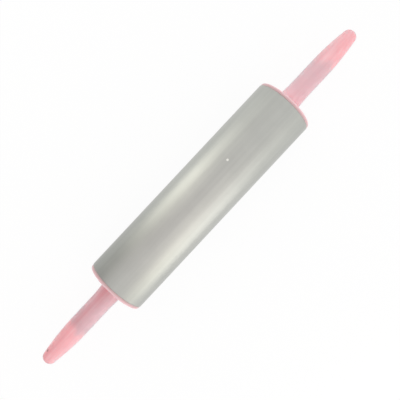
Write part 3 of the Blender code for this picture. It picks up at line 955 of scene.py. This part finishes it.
# Patches of the room, each by its direction from the pin and the cosines at its edge and its core
ROOM_DIM_TONE = (0.36, 0.36, 0.36)
DIM_SIDE = (-0.626, 0.768, 0.13)
DIM_EDGES = (0.50, 0.97)
HIGH_LEFT = (-0.45, 0.52, 0.726)
HIGH_RIGHT = (0.45, 0.52, 0.726)
HIGH_EDGES = (0.90, 0.99)
HIGH_SHARE = 0.18
# A warm strip over the pin, by the lengthwise and the upward part of its direction
WARM_TONE = (1.0, 0.918, 0.930)
WARM_RIGHT_EDGE = (0.12, 0.01)
WARM_LEFT_EDGE = (-0.24, -0.12)
WARM_LOW_EDGE = (0.30, 0.60)

# Soft lamps: name, place, width and height in metres, radiance and tone
LAMP_TONE = (1.0, 0.985, 0.88)
SOFTBOXES = (
    ("softbox_upper_left", (0.005, 1.0, 0.38), (0.31, 0.84), 1.42, LAMP_TONE),
    ("softbox_lower_right", (-0.0225, -1.0, 0.37), (0.255, 0.86), 0.76, (1.0, 0.952, 0.93)),
    ("softbox_lower_right_end", (-0.2325, -1.0, 0.37), (0.165, 0.86), 0.76, (1.0, 0.955, 0.76)),
    ("softbox_right_low", (-0.06, -0.32, -0.003), (0.24, 0.056), 0.95, (1.0, 0.985, 0.95)),
    ("softbox_right_wide", (0.04, -1.0, 0.33), (0.80, 0.78), 0.20, LAMP_TONE),
    ("softbox_right_above", (-0.08, -0.60, 0.94), (0.28, 0.58), 0.42, LAMP_TONE),
    ("softbox_left_low", (0.03, 1.0, 0.09), (0.36, 0.22), 0.40, (1.0, 0.985, 0.98)),
    ("softbox_left_above", (-0.03, 0.60, 0.87), (0.18, 0.38), 0.55, LAMP_TONE),
)


def make_floor():
    """A flat white sheet that shows white to the eye, in gloss and through clear plastic, apart
    from its corner of painted shade in gloss, and keeps a little of its shadow."""
    size = FLOOR_SIZE / 2
    mesh = bpy.data.meshes.new("floor")
    height = -BARREL_RADIUS
    signs = (-1, -1), (1, -1), (1, 1), (-1, 1)
    mesh.from_pydata([(x * size, y * size, height) for x, y in signs], [], [(0, 1, 2, 3)])
    floor = bpy.data.objects.new("floor", mesh)
    bpy.context.scene.collection.objects.link(floor)
    finish, tree, shader = new_finish("white_floor")
    tree.nodes.remove(shader)
    paper = node(tree, "ShaderNodeBsdfDiffuse", {"Color": (*FLOOR_TONE, 1.0)})
    path = node(tree, "ShaderNodeLightPath")
    spot = node(tree, "ShaderNodeSeparateXYZ", {0: place(tree)})
    # Painted shade on one corner, seen only in gloss
    dim = between(tree, spot.outputs[0], *FLOOR_DIM_ALONG)
    dim = times(tree, dim, between(tree, spot.outputs[1], *FLOOR_DIM_ACROSS))
    dim = times(tree, dim, path.outputs["Is Glossy Ray"])
    glow_tone = mixed(tree, dim, WHITE, FLOOR_DIM_TONE)
    glow = node(tree, "ShaderNodeEmission", {"Color": glow_tone, "Strength": 1.0})
    seen = larger(tree, path.outputs["Is Camera Ray"], path.outputs["Is Glossy Ray"])
    seen = larger(tree, seen, path.outputs["Is Transmission Ray"])
    inputs = {0: times(tree, seen, FLOOR_GLOW), 1: paper.outputs[0], 2: glow.outputs[0]}
    both = node(tree, "ShaderNodeMixShader", inputs)
    tree.links.new(both.outputs[0], tree.nodes["Material Output"].inputs["Surface"])
    # The glow is only for being seen, so it isn't sampled as a lamp
    finish.cycles.emission_sampling = "NONE"
    mesh.materials.append(finish)


def softbox(name, place_m, size_m, radiance, tone):
    """A rectangular lamp that faces the middle of the pin. Its power is pi times area times radiance."""
    data = bpy.data.lights.new(name, "AREA")
    data.color = tone
    data.shape = "RECTANGLE"
    data.size, data.size_y = size_m
    data.energy = math.pi * size_m[0] * size_m[1] * radiance
    lamp = bpy.data.objects.new(name, data)
    bpy.context.scene.collection.objects.link(lamp)
    lamp.location = place_m
    lamp.rotation_euler = Vector(place_m).to_track_quat("Z", "Y").to_euler()


def toward(tree, direction, side, edges):
    """1 in the middle of a round patch of the room that lies towards side, and 0 outside it."""
    inputs = {0: direction, 1: side}
    facing = node(tree, "ShaderNodeVectorMath", inputs, operation="DOT_PRODUCT").outputs[1]
    return between(tree, facing, *edges)


def set_light():
    """A white room with a dim side, two slightly dim patches higher up and a faintly warm strip over
    the pin, white wherever the camera sees it, and the soft lamps."""
    world = bpy.data.worlds.new("room")
    bpy.context.scene.world = world
    world.use_nodes = True
    tree = world.node_tree
    direction = node(tree, "ShaderNodeTexCoord").outputs["Generated"]
    parts = node(tree, "ShaderNodeSeparateXYZ", {0: direction})
    warm = between(tree, parts.outputs[0], *WARM_RIGHT_EDGE)
    warm = times(tree, warm, between(tree, parts.outputs[0], *WARM_LEFT_EDGE))
    warm = times(tree, warm, between(tree, parts.outputs[2], *WARM_LOW_EDGE))
    high_left = toward(tree, direction, HIGH_LEFT, HIGH_EDGES)
    high_right = toward(tree, direction, HIGH_RIGHT, HIGH_EDGES)
    high = times(tree, larger(tree, high_left, high_right), HIGH_SHARE)
    dim = toward(tree, direction, DIM_SIDE, DIM_EDGES)
    seen = node(tree, "ShaderNodeLightPath").outputs["Is Camera Ray"]
    tone = mixed(tree, warm, WHITE, WARM_TONE)
    tone = mixed(tree, high, tone, ROOM_DIM_TONE)
    tone = mixed(tree, dim, tone, ROOM_DIM_TONE)
    tone = mixed(tree, seen, tone, WHITE)
    tree.links.new(tone, tree.nodes["Background"].inputs["Color"])
    for lamp in SOFTBOXES:
        softbox(*lamp)


set_camera()
bpy.context.scene.view_settings.view_transform = "Standard"
set_light()
make_floor()

barrel_steel = satin_barrel_steel()
cap_pink = cap_plastic()
handle_pink = handle_plastic()
nylon = bush_nylon()
rubber = seal_rubber()
plain_steel = drawn_steel("plain_steel", PLAIN_STEEL_TONES, PLAIN_STEEL_ROUGHNESS)
spring_steel = drawn_steel("spring_steel", SPRING_STEEL_TONES, SPRING_STEEL_ROUGHNESS)

make_barrel(barrel_steel)
make_axle(plain_steel)
for end, sign in (("left", -1), ("right", 1)):
    make_cap(cap_pink, end, sign)
    make_seal(rubber, end, sign)
    make_bush(nylon, end, sign)
    make_handle(handle_pink, end, sign)
    make_insert(plain_steel, end, sign)
    make_retaining_ring(spring_steel, end, sign)
    make_washer(plain_steel, "outer_washer_" + end, "thrust_washer_" + end, THRUST_WASHER_ENDS, sign)
    make_washer(plain_steel, "ring_washer_" + end, "inner_washer_" + end, INNER_WASHER_ENDS, sign)
